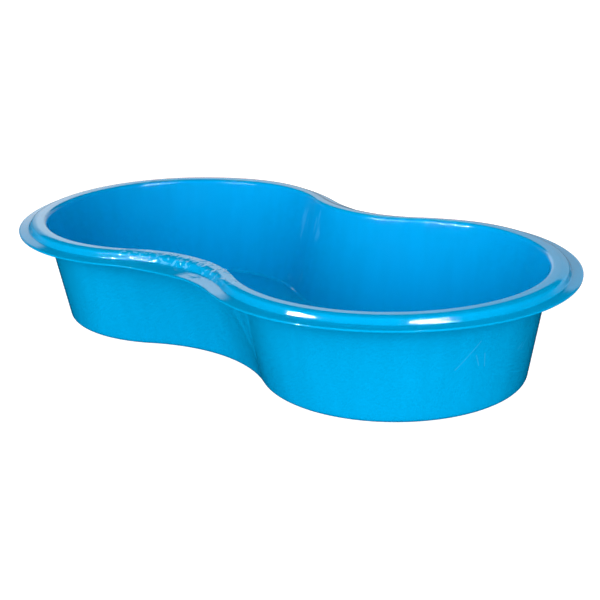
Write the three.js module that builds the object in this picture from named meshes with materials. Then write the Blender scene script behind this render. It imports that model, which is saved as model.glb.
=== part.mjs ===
// Kidney dish, large size: a one-piece moulded plastic basin with a stepped rim.
//
// In plan it is a peanut: two round lobes joined by a waist that is hollow on both long sides.
// The sheet is one thickness throughout. From the flat floor it turns up a drafted wall and over
// the mouth into a wide flange, steps down a short slope, and ends in a narrow lower lip.
//
// Frame: millimetres, +Z up, +X along the length, origin at the centre of the floor's underside.
// Unless it says otherwise, a size is measured on the upper, inner face of the sheet.

import * as THREE from "three";

// Heights and thickness.
const DEPTH = 51; // from the floor's underside to the mouth's edge
const SHEET = 0.8;

// Plan outlines where the floor meets the wall, where the wall meets the flange, and of the lip.
const FLOOR = { length: 255.7, lobeRadius: 58.4, waistWidth: 77.6 };
const MOUTH = { length: 273, lobeRadius: 69.3, waistWidth: 102.8 };
const LIP = { length: 300, lobeRadius: 82.6, waistWidth: 137.2 };

// Across the rim, outwards from the mouth's edge: width and fall of the flange and of the step.
// The lip takes up the rest of the width.
const FLANGE = { width: 6.8, fall: 0.4 };
const STEP = { width: 2.3, fall: 2.1 };
const LIP_FALL = 0.2;

// Bend radii.
const FLOOR_RADIUS = 1.7;
const MOUTH_RADIUS = 1.2;
const SHOULDER_RADIUS = 3;
const STEP_RADIUS = 2.4;

// Facets.
const LOBE_SEGMENTS = 32;
const WAIST_SEGMENTS = 12;
const BEND_SEGMENTS = 3;

const COLOUR = 0x0496dc;

/**
 * The outline of one plan as points, anticlockwise: lobe, waist, lobe, waist.
 * Each waist arc touches both lobe circles, so its radius follows from the three driving sizes.
 */
function peanut({ length, lobeRadius, waistWidth }) {
  const lobeX = length / 2 - lobeRadius;
  const halfWaist = waistWidth / 2;
  const waistRadius =
    (lobeX ** 2 + halfWaist ** 2 - lobeRadius ** 2) / (2 * (lobeRadius - halfWaist));
  const waistY = halfWaist + waistRadius;
  const reach = Math.atan2(waistY, -lobeX); // half the angle that each lobe arc spans
  const arcs = [
    new THREE.ArcCurve(lobeX, 0, lobeRadius, -reach, reach, false),
    new THREE.ArcCurve(0, waistY, waistRadius, reach - Math.PI, -reach, true),
    new THREE.ArcCurve(-lobeX, 0, lobeRadius, Math.PI - reach, Math.PI + reach, false),
    new THREE.ArcCurve(0, -waistY, waistRadius, reach, Math.PI - reach, true),
  ];
  return arcs.flatMap((arc, i) => {
    const segments = i % 2 ? WAIST_SEGMENTS : LOBE_SEGMENTS;
    return arc.getPoints(segments).slice(0, -1);
  });
}

/** A corner of the cross-section, to be rounded to the given radius. */
function corner(x, y, radius = 0) {
  return Object.assign(new THREE.Vector2(x, y), { radius });
}

/** The unit vector that points to the right of the way from a to b. */
function rightOf(a, b) {
  const along = b.clone().sub(a).normalize();
  return new THREE.Vector2(along.y, -along.x);
}

/** Moves a line of corners to its right by the sheet's thickness, and fits each radius to that. */
function farFace(corners) {
  return corners.map((at, i) => {
    const before = corners[i - 1];
    const after = corners[i + 1];
    const first = before ? rightOf(before, at) : rightOf(at, after);
    const second = after ? rightOf(at, after) : first;
    const mitre = first.clone().add(second).divideScalar(1 + first.dot(second));
    const { x, y } = mitre.multiplyScalar(SHEET).add(at);
    const turnsRight = first.cross(second) < 0;
    return corner(x, y, at.radius && at.radius + (turnsRight ? -SHEET : SHEET));
  });
}

/** Replaces each corner that has a radius by points along its bend. */
function bend(corners) {
  return corners.flatMap((at, i) => {
    if (!at.radius) return [at];
    const back = corners[i - 1].clone().sub(at).normalize();
    const forward = corners[i + 1].clone().sub(at).normalize();
    const halfAngle = Math.acos(back.dot(forward)) / 2;
    const tangent = at.radius / Math.tan(halfAngle);
    const start = back.clone().multiplyScalar(tangent).add(at);
    const end = forward.clone().multiplyScalar(tangent).add(at);
    const toCentre = back.add(forward).setLength(at.radius / Math.sin(halfAngle));
    const centre = toCentre.add(at);
    const from = start.sub(centre).angle();
    const sweep = end.sub(centre).angle() - from;
    const shortWay = sweep - 2 * Math.PI * Math.round(sweep / (2 * Math.PI));
    return Array.from({ length: BEND_SEGMENTS + 1 }, (_, k) =>
      start.clone().rotateAround(new THREE.Vector2(), (shortWay * k) / BEND_SEGMENTS).add(centre),
    );
  });
}

/**
 * The sheet's cross-section, x outwards from the mouth's edge and y up, as a line that starts on the
 * floor's upper face, runs up over the rim, and comes back along the underside to the floor.
 */
function section(floorInset, lipReach) {
  const stepTop = DEPTH - FLANGE.fall;
  const stepFoot = stepTop - STEP.fall;
  const upper = [
    corner(-floorInset - 2 * FLOOR_RADIUS, SHEET),
    corner(-floorInset, SHEET, FLOOR_RADIUS),
    corner(0, DEPTH, MOUTH_RADIUS),
    corner(FLANGE.width, stepTop, SHOULDER_RADIUS),
    corner(FLANGE.width + STEP.width, stepFoot, STEP_RADIUS),
    corner(lipReach, stepFoot - LIP_FALL),
  ];
  return [...bend(upper), ...bend(farFace(upper)).reverse()];
}

/** A closed shell: a ring of cross-sections round the mouth, and a flat cap on each floor face. */
function dishGeometry() {
  const floor = peanut(FLOOR);
  const lip = peanut(LIP);
  const rings = peanut(MOUTH).map((mouth, i) => {
    const inwards = floor[i].clone().sub(mouth);
    const outwards = lip[i].clone().sub(mouth);
    const line = section(inwards.length(), outwards.length());
    inwards.normalize();
    outwards.normalize();
    return line.map(({ x, y }) => {
      const place = mouth.clone().addScaledVector(x < 0 ? inwards : outwards, Math.abs(x));
      return new THREE.Vector3(place.x, place.y, y);
    });
  });

  const across = rings[0].length;
  const vertex = (ring, k) => (ring % rings.length) * across + k;
  const index = [];
  for (let ring = 0; ring < rings.length; ring++) {
    for (let k = 0; k < across - 1; k++) {
      const a = vertex(ring, k);
      const b = vertex(ring + 1, k);
      index.push(a, a + 1, b + 1, a, b + 1, b);
    }
  }
  const floorEdge = (k) => rings.map((ring) => new THREE.Vector2(ring[k].x, ring[k].y));
  for (const [a, b, c] of THREE.ShapeUtils.triangulateShape(floorEdge(0), [])) {
    index.push(vertex(a, 0), vertex(b, 0), vertex(c, 0));
  }
  const last = across - 1;
  for (const [a, b, c] of THREE.ShapeUtils.triangulateShape(floorEdge(last), [])) {
    index.push(vertex(a, last), vertex(c, last), vertex(b, last));
  }

  const geometry = new THREE.BufferGeometry().setFromPoints(rings.flat());
  geometry.setIndex(index);
  geometry.computeVertexNormals();
  return geometry;
}

const dish = new THREE.Mesh(
  dishGeometry(),
  new THREE.MeshStandardMaterial({ color: COLOUR, roughness: 0.28, metalness: 0 }),
);
dish.name = "dish_shell";

const kidneyDish = new THREE.Group();
kidneyDish.add(dish);

export default kidneyDish;
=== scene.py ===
"""Kidney dish in glossy blue plastic: one thin moulded shell, seen on a white studio floor."""

import math

import bpy
import numpy as np
from mathutils import Matrix, Vector


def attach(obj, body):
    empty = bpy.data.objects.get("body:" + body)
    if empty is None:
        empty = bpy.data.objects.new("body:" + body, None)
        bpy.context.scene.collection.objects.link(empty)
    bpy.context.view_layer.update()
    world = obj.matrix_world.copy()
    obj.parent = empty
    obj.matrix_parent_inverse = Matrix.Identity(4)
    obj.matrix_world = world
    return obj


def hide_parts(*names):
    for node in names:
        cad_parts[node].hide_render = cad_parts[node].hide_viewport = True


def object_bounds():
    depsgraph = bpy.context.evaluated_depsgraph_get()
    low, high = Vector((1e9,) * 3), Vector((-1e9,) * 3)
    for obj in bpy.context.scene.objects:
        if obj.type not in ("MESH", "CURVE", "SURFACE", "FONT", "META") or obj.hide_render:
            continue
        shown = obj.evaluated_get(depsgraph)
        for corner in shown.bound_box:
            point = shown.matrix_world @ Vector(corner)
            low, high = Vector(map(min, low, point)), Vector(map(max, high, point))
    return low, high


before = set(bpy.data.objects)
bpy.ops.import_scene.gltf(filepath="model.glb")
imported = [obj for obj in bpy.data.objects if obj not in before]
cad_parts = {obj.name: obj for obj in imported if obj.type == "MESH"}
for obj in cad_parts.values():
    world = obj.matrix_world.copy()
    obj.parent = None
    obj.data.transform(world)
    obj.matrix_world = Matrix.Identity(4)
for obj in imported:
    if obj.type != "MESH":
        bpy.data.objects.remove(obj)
cad_low, cad_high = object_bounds()

MM = 0.001

# Plan outlines on the sheet's upper face, and the sheet. The overall length comes from the CAD box.
FLOOR = dict(length=255.7 * MM, lobe_radius=58.4 * MM, waist_width=77.6 * MM)
MOUTH = dict(length=273 * MM, lobe_radius=69.3 * MM, waist_width=102.8 * MM)
LIP = dict(length=cad_high.x - cad_low.x, lobe_radius=82.6 * MM, waist_width=137.2 * MM)
DEPTH = 51 * MM
SHEET = 0.8 * MM

# The rim's cross-section, outwards from the mouth's edge. The flange is crowned.
FLANGE_WIDTH = 7.8 * MM
FLANGE_FALL = 0.6 * MM
CROWN_SHARE = 0.66
CROWN_FALL = 0.04 * MM
STEP_WIDTH = 1.4 * MM
STEP_FALL = 2.35 * MM
LIP_SLOPE = math.radians(6)
MOUTH_INSET = 0.2 * MM
BEND_RADII = dict(floor=1.7 * MM, mouth=2.1 * MM, crown=10 * MM, shoulder=1.9 * MM, step=0.8 * MM)

# How the thin rim sags and lifts round the dish, by plan direction from the dish's centre:
# degrees anticlockwise from +X, droop of the rim in degrees, lift of the mouth's edge in millimetres.
# The values were fitted to the photo by a separate program and then rounded by hand.
RIM_SET = [
    (0, 2, 0.15), (20, -0.5, 0.15), (45, -3.5, 0.15), (60, 3, -0.1), (75, 4, -0.2), (120, 2, -0.3),
    (135, -4, -0.3), (150, -4, -0.5), (165, -5.5, -0.35), (180, -4, -0.25), (195, -0.5, -0.3),
    (225, 2.5, -0.45), (240, 2.5, -0.05), (255, 3, 0.05), (270, 2, 0.05), (285, 0.5, 0.15),
    (300, -0.5, 0.1), (330, -2, 0), (345, 0.5, 0.15),
]
SET_BLUR = 7  # degrees either side over which the rim's set is averaged
SET_SAMPLES = 15

EDGE_EASE = 0.12 * MM  # how much the lip's cut edge is rounded

# Mesh density: rings round the dish, and points across its section.
LOBE_RINGS = 160
WAIST_RINGS = 100
FLOOR_RINGS = 10
BEND_STEPS = [6, 12, 6, 10, 8]
SIDE_STEPS = [2, 24, 3, 3, 2, 6]


# ---------------------------------------------------------------- shape

def arc(centre, radius, start, end, count):
    """Points of an arc, with the last one left off."""
    angle = start + (end - start) * np.arange(count) / count
    return np.array(centre) + radius * np.column_stack([np.cos(angle), np.sin(angle)])


def peanut(length, lobe_radius, waist_width):
    """A plan outline: two lobe arcs joined by two waist arcs that touch them, anticlockwise."""
    lobe_x = length / 2 - lobe_radius
    half = waist_width / 2
    waist_radius = (lobe_x**2 + half**2 - lobe_radius**2) / (2 * (lobe_radius - half))
    waist_y = half + waist_radius
    reach = math.atan2(waist_y, -lobe_x)
    return np.vstack([
        arc((lobe_x, 0), lobe_radius, -reach, reach, LOBE_RINGS),
        arc((0, waist_y), waist_radius, reach - math.pi, -reach, WAIST_RINGS),
        arc((-lobe_x, 0), lobe_radius, math.pi - reach, math.pi + reach, LOBE_RINGS),
        arc((0, -waist_y), waist_radius, reach, math.pi - reach, WAIST_RINGS),
    ])


def unit(v):
    return v / np.linalg.norm(v, axis=-1, keepdims=True)


def straight(a, b, count):
    """Points from a up to, not including, b, for every ring at once."""
    t = (np.arange(count) / count)[None, :, None]
    return a[:, None] * (1 - t) + b[:, None] * t


def rounded(corners, radii, bend_steps, side_steps):
    """Sections with each inner corner rounded, as an array of rings by points by 2."""
    pieces = []
    last = corners[:, 0]
    for i in range(1, corners.shape[1] - 1):
        at = corners[:, i]
        back = unit(corners[:, i - 1] - at)
        ahead = unit(corners[:, i + 1] - at)
        half = np.arccos((back * ahead).sum(-1, keepdims=True)) / 2
        reach = radii[i - 1] / np.tan(half)
        centre = at + unit(back + ahead) * radii[i - 1] / np.sin(half)
        start = at + back * reach
        end = at + ahead * reach
        pieces.append(straight(last, start, side_steps[i - 1]))
        turn = (math.pi - 2 * half)[:, None]
        t = (np.arange(bend_steps[i - 1]) / bend_steps[i - 1])[None, :, None]
        a = (start - centre)[:, None]
        b = (end - centre)[:, None]
        swept = (np.sin((1 - t) * turn) * a + np.sin(t * turn) * b) / np.sin(turn)
        pieces.append(centre[:, None] + swept)
        last = end
    pieces.append(straight(last, corners[:, -1], side_steps[-1]))
    pieces.append(corners[:, -1:])
    return np.concatenate(pieces, axis=1)


def rim_set(plan):
    """Droop in radians and lift in metres of the rim at each point of a plan outline."""
    direction = np.degrees(np.arctan2(plan[:, 1], plan[:, 0]))
    spread = direction[:, None] + np.linspace(-SET_BLUR, SET_BLUR, SET_SAMPLES)
    knots, droop, lift = np.array(RIM_SET).T
    droop = np.interp(spread, knots, droop, period=360).mean(axis=1)
    lift = np.interp(spread, knots, lift, period=360).mean(axis=1)
    return np.radians(droop), lift * MM


def build_dish():
    floor, mouth, lip = peanut(**FLOOR), peanut(**MOUTH), peanut(**LIP)
    inwards = floor - mouth
    outwards = lip - mouth
    inset = np.linalg.norm(inwards, axis=1)
    reach = np.linalg.norm(outwards, axis=1)
    inwards, outwards = unit(inwards), unit(outwards)
    droop, lift = rim_set(mouth)
    rings = len(mouth)

    def corner(x, z):
        return np.column_stack([np.broadcast_to(x, rings), np.broadcast_to(z, rings)])

    def rim_corner(x, fall):
        return corner(x * np.cos(droop) - fall * np.sin(droop) - MOUTH_INSET,
                      DEPTH + lift - x * np.sin(droop) - fall * np.cos(droop))

    step_foot = FLANGE_FALL + STEP_FALL
    lip_width = reach + MOUTH_INSET - FLANGE_WIDTH - STEP_WIDTH
    corners = np.stack([
        corner(-inset - 2 * BEND_RADII["floor"], SHEET),
        corner(-inset, SHEET),
        rim_corner(0, 0),
        rim_corner(FLANGE_WIDTH * CROWN_SHARE, CROWN_FALL),
        rim_corner(FLANGE_WIDTH, FLANGE_FALL),
        rim_corner(FLANGE_WIDTH + STEP_WIDTH, step_foot),
        rim_corner(reach + MOUTH_INSET, step_foot + lip_width * math.tan(LIP_SLOPE)),
    ], axis=1)
    line = rounded(corners, list(BEND_RADII.values()), BEND_STEPS, SIDE_STEPS)

    along = np.gradient(line, axis=1)
    normal = unit(np.stack([along[..., 1], -along[..., 0]], axis=-1))
    under = line + normal * SHEET

    def place(section):
        x, z = section[..., :1], section[..., 1]
        plan = mouth[:, None] + np.where(x < 0, inwards[:, None], outwards[:, None]) * np.abs(x)
        return np.concatenate([plan, z[..., None]], axis=-1)

    upper, lower = place(line), place(under)
    lip_edge = round_edge(upper[:, -1], lower[:, -1], outwards)
    return stitch(upper, lip_edge, lower)


def round_edge(top, bottom, outwards):
    """A flat cut edge with its two corners eased, between the last points of the two faces."""
    out = np.concatenate([outwards, np.zeros((len(outwards), 1))], axis=1)
    down = unit(bottom - top)
    points = [
        top + out * EDGE_EASE * 0.7 + down * EDGE_EASE * 0.3,
        top + out * EDGE_EASE + down * EDGE_EASE,
        bottom + out * EDGE_EASE - down * EDGE_EASE,
        bottom + out * EDGE_EASE * 0.7 - down * EDGE_EASE * 0.3,
    ]
    return np.stack(points, axis=1)


def floor_grid(edge):
    """Rings of the floor, from its middle outwards to just inside the edge, and its centre point."""
    shares = (np.arange(1, FLOOR_RINGS + 1) / (FLOOR_RINGS + 1))[None, :, None]
    centre = np.array([0, 0, edge[0, 2]])
    return centre + (edge[:, None] - centre) * shares, centre


def stitch(upper, lip_edge, lower):
    """One closed mesh from the section rings, with a fan at the centre of each floor face."""
    top_grid, top_centre = floor_grid(upper[:, 0])
    low_grid, low_centre = floor_grid(lower[:, 0])
    section = np.concatenate([top_grid, upper, lip_edge, lower[:, ::-1], low_grid[:, ::-1]], axis=1)
    rings, across = section.shape[:2]
    verts = np.vstack([section.reshape(-1, 3), top_centre, low_centre])
    ring = np.arange(rings)[:, None] * across
    after = np.roll(ring, -1, axis=0)
    k = np.arange(across - 1)[None, :]
    quads = np.stack([ring + k, ring + k + 1, after + k + 1, after + k], axis=-1).reshape(-1, 4)
    top, low = len(verts) - 2, len(verts) - 1
    first, final = ring[:, 0], ring[:, 0] + across - 1
    faces = [tuple(q) for q in quads.tolist()]
    faces += [(top, a, b) for a, b in zip(first.tolist(), np.roll(first, -1).tolist())]
    faces += [(low, b, a) for a, b in zip(final.tolist(), np.roll(final, -1).tolist())]
    mesh = bpy.data.meshes.new("dish")
    mesh.from_pydata(verts.tolist(), [], faces)
    mesh.polygons.foreach_set("use_smooth", [True] * len(mesh.polygons))
    mesh.update()
    dish = bpy.data.objects.new("dish_shell_visual", mesh)
    bpy.context.scene.collection.objects.link(dish)
    return dish


# ---------------------------------------------------------------- nodes

class Tree:
    """A short way to add and link shader nodes."""

    def __init__(self, owner):
        owner.use_nodes = True
        self.nodes = owner.node_tree.nodes
        self.links = owner.node_tree.links

    def add(self, kind, inputs=(), out=0, **settings):
        """A new node's output. inputs maps a socket to a value or to another node's output."""
        node = self.nodes.new(kind)
        for name, value in settings.items():
            setattr(node, name, value)
        for socket, value in dict(inputs).items():
            self.put(node.inputs[socket], value)
        return node.outputs[out]

    def put(self, socket, value):
        if isinstance(value, bpy.types.NodeSocket):
            self.links.new(value, socket)
        else:
            socket.default_value = value

    def math(self, operation, a, b=0.0, clamp=False):
        return self.add("ShaderNodeMath", {0: a, 1: b}, operation=operation, use_clamp=clamp)

    def remap(self, value, low, high, to_low, to_high, ease="SMOOTHSTEP"):
        return self.add(
            "ShaderNodeMapRange",
            {"Value": value, "From Min": low, "From Max": high, "To Min": to_low, "To Max": to_high},
            interpolation_type=ease,
        )

    def noise(self, place, scale, detail):
        return self.add("ShaderNodeTexNoise", {"Vector": place, "Scale": scale, "Detail": detail}, "Fac")

    def vector(self, operation, a, b):
        return self.add("ShaderNodeVectorMath", {0: a, 1: b}, operation=operation)

    def length(self, a):
        return self.add("ShaderNodeVectorMath", {0: a}, "Value", operation="LENGTH")

    def dot(self, a, b):
        return self.add("ShaderNodeVectorMath", {0: a, 1: b}, "Value", operation="DOT_PRODUCT")

    def mix(self, share, a, b):
        """A colour between a and b."""
        node = self.nodes.new("ShaderNodeMix")
        node.data_type = "RGBA"
        colours = [socket for socket in node.inputs if socket.type == "RGBA"]
        self.put(node.inputs[0], share)
        self.put(colours[0], a)
        self.put(colours[1], b)
        return next(socket for socket in node.outputs if socket.type == "RGBA")


# ---------------------------------------------------------------- material

OUTSIDE_BLUE = (0.0, 0.345, 0.69, 1)
INSIDE_BLUE = (0.0, 0.325, 0.71, 1)
SCUFF_AND_GLINT_BLUE = (0.10, 0.50, 0.85, 1)
SIDE_BLEND = 5 * MM  # how gradually one blue gives way to the other

# Noise scales, in features per metre.
CLOUD_SCALE = 14.0
STREAK_SCALE = 170.0
HAZE_SCALE = 60.0
GRAIN_SCALE = 1300.0
SWELL_SCALE = 90.0
DENT_SCALE = 260.0
GLINT_FLECK_SCALE = 420.0

# Painted shade close under the rim: how far the rim's cover is felt, and the most the painted shade
# darkens.
PAINTED_SHADE_REACH = 14 * MM
PAINTED_SHADE_DEPTH = 0.5

# The near flange is shallowly dented and carries painted pale flecks of reflection, and the inside of the
# far waist has paler vertical streaks.
# Each patch is an ellipsoid: its centre and its reach along X, Y and Z.
DENTED = ((0, -62 * MM, 51 * MM), (56 * MM, 15 * MM, 4 * MM))
STREAKED_PATCHES = [
    ((-24 * MM, 54 * MM, 40 * MM), (6 * MM, 6 * MM, 13 * MM)),
    ((-41 * MM, 60 * MM, 36 * MM), (5 * MM, 5 * MM, 12 * MM)),
]

# Scratches on the outside of the right-hand end: y and z of both ends, in millimetres.
SCRATCHES = [(-29, 23, -20, 34), (4, 24, 7, 26), (7, 23, 11, 27), (-21, 28, -19, 23), (-17, 28, -16, 22)]
SCRATCH_WIDTH = 0.45 * MM
SCRATCH_STRENGTH = 0.16


def blob(tree, place, centre, reach):
    """1 at the centre of an ellipsoid and 0 outside it."""
    offset = tree.vector("SUBTRACT", place, centre)
    return tree.remap(tree.length(tree.vector("DIVIDE", offset, reach)), 0.6, 1.0, 1.0, 0.0)


def scratch(tree, place, start, end):
    """1 along a line seen from +X, fading to 0 across the scratch's width."""
    line = Vector(end) - Vector(start)
    offset = tree.vector("SUBTRACT", place, start)
    along = tree.math("DIVIDE", tree.dot(offset, line), line.length_squared, clamp=True)
    nearest = tree.add("ShaderNodeVectorMath", {0: line, "Scale": along}, operation="SCALE")
    gap = tree.length(tree.vector("SUBTRACT", offset, nearest))
    return tree.remap(gap, 0.0, SCRATCH_WIDTH, 1.0, 0.0)


def axis(tree, place, name):
    return tree.add("ShaderNodeSeparateXYZ", {0: place}, name)


def scuffs_and_glints(tree, place, streak):
    """How pale the plastic is: paler streaks inside the far waist, scratches on the right-hand end, and
    painted pale flecks of reflection on the near flange.
    """
    total = 0.0
    lines = tree.remap(streak, 0.5, 0.62, 0.0, 0.2)
    # Paler vertical streaks in two patches inside the far waist.
    for centre, reach in STREAKED_PATCHES:
        total = tree.math("ADD", tree.math("MULTIPLY", blob(tree, place, centre, reach), lines), total)
    right_end = tree.remap(axis(tree, place, "X"), 110 * MM, 120 * MM, 0.0, SCRATCH_STRENGTH)
    flat = tree.vector("MULTIPLY", place, (0, 1, 1))
    for y0, z0, y1, z1 in SCRATCHES:
        mark = scratch(tree, flat, (0, y0 * MM, z0 * MM), (0, y1 * MM, z1 * MM))
        total = tree.math("ADD", tree.math("MULTIPLY", mark, right_end), total)
    # Painted pale flecks of reflection, kept to the dented patch of the near flange.
    glint_fleck = tree.remap(tree.noise(place, GLINT_FLECK_SCALE, 2.0), 0.58, 0.66, 0.0, 0.8)
    glint_fleck = tree.math("MULTIPLY", glint_fleck, blob(tree, place, *DENTED))
    return tree.math("ADD", total, glint_fleck)


def lightness(tree, place, streak):
    """The colour's brightness: cloudy, faintly streaked, and with painted shade close under the rim."""
    clouded = tree.remap(tree.noise(place, CLOUD_SCALE, 2.0), 0.3, 0.7, 0.98, 1.02)
    streaked = tree.remap(streak, 0.3, 0.7, 0.98, 1.02)
    value = tree.math("MULTIPLY", clouded, streaked)
    # Painted shade: the upper half of the dish is darkened in its colour where the rim shuts it in.
    uncovered = tree.add("ShaderNodeAmbientOcclusion", {"Distance": PAINTED_SHADE_REACH}, "AO", samples=4)
    upper_half = tree.remap(axis(tree, place, "Z"), 20 * MM, 35 * MM, 0.0, 1.0)
    shade = tree.math("MULTIPLY", tree.remap(uncovered, 0.45, 0.92, PAINTED_SHADE_DEPTH, 0.0), upper_half)
    return tree.math("MULTIPLY", value, tree.math("SUBTRACT", 1.0, shade))


def base_colour(tree, place):
    """Blue that differs a little between the dish's inside and outside, with its marks, painted reflection
    flecks and painted shade under the rim.
    """
    streak = tree.noise(tree.vector("MULTIPLY", place, (1, 1, 0.06)), STREAK_SCALE, 3.0)
    outwards = tree.dot(place, tree.add("ShaderNodeNewGeometry", out="Normal"))
    outside = tree.remap(outwards, -SIDE_BLEND, SIDE_BLEND, 0.0, 1.0)
    colour = tree.mix(outside, INSIDE_BLUE, OUTSIDE_BLUE)
    value = lightness(tree, place, streak)
    colour = tree.add("ShaderNodeHueSaturation", {"Color": colour, "Value": value})
    return tree.mix(scuffs_and_glints(tree, place, streak), colour, SCUFF_AND_GLINT_BLUE)


def relief(tree, place):
    """A bumped normal: fine grain, a slow swell, and dents on the near flange."""
    grain = tree.noise(place, GRAIN_SCALE, 1.0)
    normal = tree.add("ShaderNodeBump", {"Height": grain, "Distance": 0.003 * MM})
    swell = tree.noise(place, SWELL_SCALE, 1.0)
    normal = tree.add("ShaderNodeBump", {"Height": swell, "Distance": 0.03 * MM, "Normal": normal})
    dent = tree.remap(tree.noise(place, DENT_SCALE, 1.0), 0.52, 0.64, 0.0, 1.0)
    dent = tree.math("MULTIPLY", dent, blob(tree, place, *DENTED))
    return tree.add("ShaderNodeBump", {"Height": dent, "Distance": 0.15 * MM, "Normal": normal})


def plastic():
    material = bpy.data.materials.new("blue_plastic")
    tree = Tree(material)
    shader = tree.nodes["Principled BSDF"]
    place = tree.add("ShaderNodeTexCoord", out="Object")
    tree.put(shader.inputs["Base Color"], base_colour(tree, place))
    # The sheen shows at glancing angles. Seen face on, the plastic hardly mirrors its surroundings.
    facing = tree.add("ShaderNodeLayerWeight", {"Blend": 0.5}, "Facing")
    tree.put(shader.inputs["Specular IOR Level"], tree.remap(facing, 0.46, 0.66, 0.02, 0.55))
    haze = tree.noise(place, HAZE_SCALE, 4.0)
    tree.put(shader.inputs["Roughness"], tree.remap(haze, 0.3, 0.7, 0.03, 0.05))
    tree.put(shader.inputs["Normal"], relief(tree, place))
    return material


# ---------------------------------------------------------------- studio

CAMERA_AZIMUTH = 44.16
CAMERA_ELEVATION = 18.61
CAMERA_ROLL = -1.36
CAMERA_LENS = 73.98  # millimetres, on a sensor 36 mm wide
DISH_FROM_CAMERA = Vector((-0.0319, -0.0609, -2.1875))  # the dish's origin in camera axes, in mouth lengths

FLOOR_HALF = 4.0
FLOOR_BLACK = (0, 0, 0, 1)
FLOOR_GREY = (0.35, 0.35, 0.35, 1)  # what the floor reflects on to the dish
FLOOR_SEEN = 0.95  # how brightly the floor glows to the camera, so that it looks white
FLOOR_MIRRORED = 0.3  # how brightly it glows to the dish's gloss, from half a metre away outwards

# Broad soft patches of the studio's walls that light the dish: azimuth, elevation, strength.
# Those in front, and the lamps below, were fitted to the photo's shading by a separate program and
# then changed and rounded by hand. The last three light the back, which the photo doesn't show.
WALL_GLOWS = [
    (-30, 5, 1.1), (0, 5, 2.35), (30, 5, 1.65), (60, 5, 0.4),
    (0, 28, 0.95), (30, 28, 0.8), (60, 28, 0.7), (45, 50, 0.6),
    (180, 5, 2), (225, 5, 2.4), (270, 5, 1.4),
]
GLOW_SHARPNESS = 12

# Soft square lamps close to the dish: azimuth, elevation, power in watts.
FILLS = [(60, 10, 0.75), (-30, 10, 0.5), (90, 10, 0.4), (0, 38, 0.22), (45, 38, 0.22), (90, 38, 0.36)]
FILL_DISTANCE = 0.55
FILL_SIZE = 0.31

# Strip lamps that only make highlights: azimuth from the camera, elevation, width, power in watts.
SHEENS = [
    ("left_sheen", -51, 33, 0.72, 340), ("left_sheen", -51, 19, 0.72, 340),
    ("right_sheen", 27, 53, 0.52, 110), ("right_sheen", 27, 38, 0.52, 110),
]
SHEEN_DISTANCE = 1.2
SHEEN_HEIGHT = 0.07

AIM = Vector((0, 0, 30 * MM))  # the point that the lamps face

# The backdrop that the gloss mirrors, brighter on the picture's left. It stops short of the far left
# and at its top, and it is dim close to the floor. Places across it are sines of angles to the right.
BACKDROP_LEFT = 1.45
BACKDROP_RIGHT = 0.62
BACKDROP_SPREAD = 0.25
BACKDROP_END = (-0.4, -0.2)
BACKDROP_TOP = math.sin(math.radians(22.5))
BACKDROP_LOW = math.sin(math.radians(8))


def direction(azimuth, elevation):
    """A unit vector. Azimuth 0 is -Y and 90 is +X, as a camera's azimuth is."""
    a, e = math.radians(azimuth), math.radians(elevation)
    return Vector((math.sin(a) * math.cos(e), -math.cos(a) * math.cos(e), math.sin(e)))


def make_floor():
    mesh = bpy.data.meshes.new("studio_floor")
    half = FLOOR_HALF
    corners = [(-half, -half, 0), (half, -half, 0), (half, half, 0), (-half, half, 0)]
    mesh.from_pydata(corners, [], [(0, 1, 2, 3)])
    floor = bpy.data.objects.new("studio_floor", mesh)
    bpy.context.scene.collection.objects.link(floor)
    material = bpy.data.materials.new("studio_white")
    tree = Tree(material)
    shader = tree.nodes["Principled BSDF"]
    shader.inputs["Roughness"].default_value = 1.0
    shader.inputs["Specular IOR Level"].default_value = 0.0
    shader.inputs["Emission Color"].default_value = (1, 1, 1, 1)
    rays = tree.nodes.new("ShaderNodeLightPath")
    glossy = rays.outputs["Is Glossy Ray"]
    tree.put(shader.inputs["Base Color"], tree.mix(glossy, FLOOR_GREY, FLOOR_BLACK))
    distance = tree.length(tree.add("ShaderNodeNewGeometry", out="Position"))
    mirrored = tree.math("MULTIPLY", glossy, tree.remap(distance, 0.5, 1.5, 0.0, FLOOR_MIRRORED))
    mirrored = tree.math("MULTIPLY", mirrored, first_reflection(tree))
    seen = tree.math("MULTIPLY", rays.outputs["Is Camera Ray"], FLOOR_SEEN)
    tree.put(shader.inputs["Emission Strength"], tree.math("ADD", mirrored, seen))
    mesh.materials.append(material)


def wall_light(tree, way):
    """The light that comes from a direction to the dish's matt colour."""
    light = 0.0
    for azimuth, elevation, strength in WALL_GLOWS:
        off = tree.math("SUBTRACT", tree.dot(way, direction(azimuth, elevation)), 1.0)
        fade = tree.math("EXPONENT", tree.math("MULTIPLY", off, GLOW_SHARPNESS))
        light = tree.math("ADD", tree.math("MULTIPLY", fade, strength), light)
    return light


def backdrop(tree, way):
    """The light that the dish's gloss mirrors from a direction."""
    height = axis(tree, way, "Z")
    side = tree.dot(way, direction(CAMERA_AZIMUTH + 90, 0))
    edge = BACKDROP_SPREAD
    light = tree.remap(side, -edge, edge, BACKDROP_LEFT, BACKDROP_RIGHT, "LINEAR")
    light = tree.math("MULTIPLY", light, tree.remap(side, *BACKDROP_END, 0.15, 1.0))
    top = tree.remap(height, BACKDROP_TOP - 0.015, BACKDROP_TOP + 0.015, 1.0, 0.0)
    light = tree.math("MULTIPLY", light, top)
    light = tree.math("MULTIPLY", light, tree.remap(height, 0.0, BACKDROP_LOW, 0.2, 1.0))
    return tree.math("MULTIPLY", light, first_reflection(tree))


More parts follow.
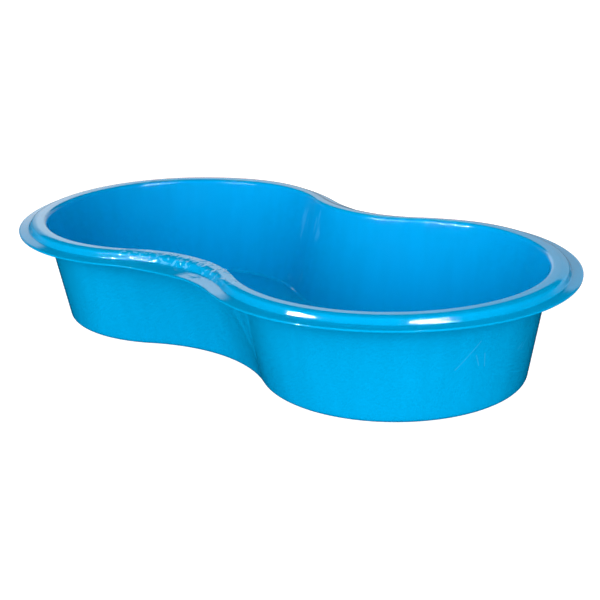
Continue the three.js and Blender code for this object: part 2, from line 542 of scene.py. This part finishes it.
def make_world():
    world = bpy.data.worlds.new("studio")
    bpy.context.scene.world = world
    tree = Tree(world)
    way = tree.add("ShaderNodeTexCoord", out="Generated")
    light = wall_light(tree, way)
    mirrored = backdrop(tree, way)
    rays = tree.nodes.new("ShaderNodeLightPath")
    is_glossy, is_camera = rays.outputs["Is Glossy Ray"], rays.outputs["Is Camera Ray"]
    unseen = tree.add("ShaderNodeMix", {"Factor": is_glossy, "A": light, "B": mirrored})
    strength = tree.add("ShaderNodeMix", {"Factor": is_camera, "A": unseen, "B": 1.0})
    tree.put(tree.nodes["Background"].inputs["Strength"], strength)
    tree.nodes["Background"].inputs["Color"].default_value = (1, 1, 1, 1)


def first_reflection(tree):
    """1 until a ray's first diffuse bounce, then 0, so that a sheen isn't cast on to other walls."""
    depth = tree.add("ShaderNodeLightPath", out="Diffuse Depth")
    return tree.math("LESS_THAN", depth, 0.5)


def softbox(name, azimuth, elevation, distance, width, height, power, glossy):
    """An area light that faces the dish, seen only by glossy rays or only by diffuse ones."""
    light = bpy.data.lights.new(name, "AREA")
    light.shape = "RECTANGLE"
    light.size, light.size_y = width, height
    light.energy = power
    box = bpy.data.objects.new(name, light)
    towards = direction(azimuth, elevation)
    box.location = towards * distance + AIM
    box.rotation_euler = towards.to_track_quat("Z", "Y").to_euler()
    box.visible_camera = False
    box.visible_glossy = glossy
    box.visible_diffuse = not glossy
    if glossy:
        tree = Tree(light)
        tree.put(tree.nodes["Emission"].inputs["Strength"], first_reflection(tree))
    bpy.context.scene.collection.objects.link(box)


def make_lights():
    for azimuth, elevation, power in FILLS:
        softbox("fill", azimuth, elevation, FILL_DISTANCE, FILL_SIZE, FILL_SIZE, power, False)
    for name, turn, elevation, width, power in SHEENS:
        azimuth = CAMERA_AZIMUTH + turn
        softbox(name, azimuth, elevation, SHEEN_DISTANCE, width, SHEEN_HEIGHT, power, True)


def make_camera():
    camera = bpy.data.objects.new("camera", bpy.data.cameras.new("camera"))
    camera.data.sensor_width = 36
    camera.data.lens = CAMERA_LENS
    turn = (
        Matrix.Rotation(math.radians(CAMERA_AZIMUTH), 4, "Z")
        @ Matrix.Rotation(math.pi / 2 - math.radians(CAMERA_ELEVATION), 4, "X")
        @ Matrix.Rotation(math.radians(CAMERA_ROLL), 4, "Z")
    )
    centre = DISH_FROM_CAMERA * MOUTH["length"]
    camera.matrix_world = Matrix.Translation(turn.to_3x3() @ -centre) @ turn
    bpy.context.scene.collection.objects.link(camera)
    bpy.context.scene.camera = camera


dish = build_dish()
dish.data.materials.append(plastic())
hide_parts("dish_shell")
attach(dish, "root")
make_floor()
make_world()
make_lights()
make_camera()
bpy.context.scene.view_settings.view_transform = "Standard"
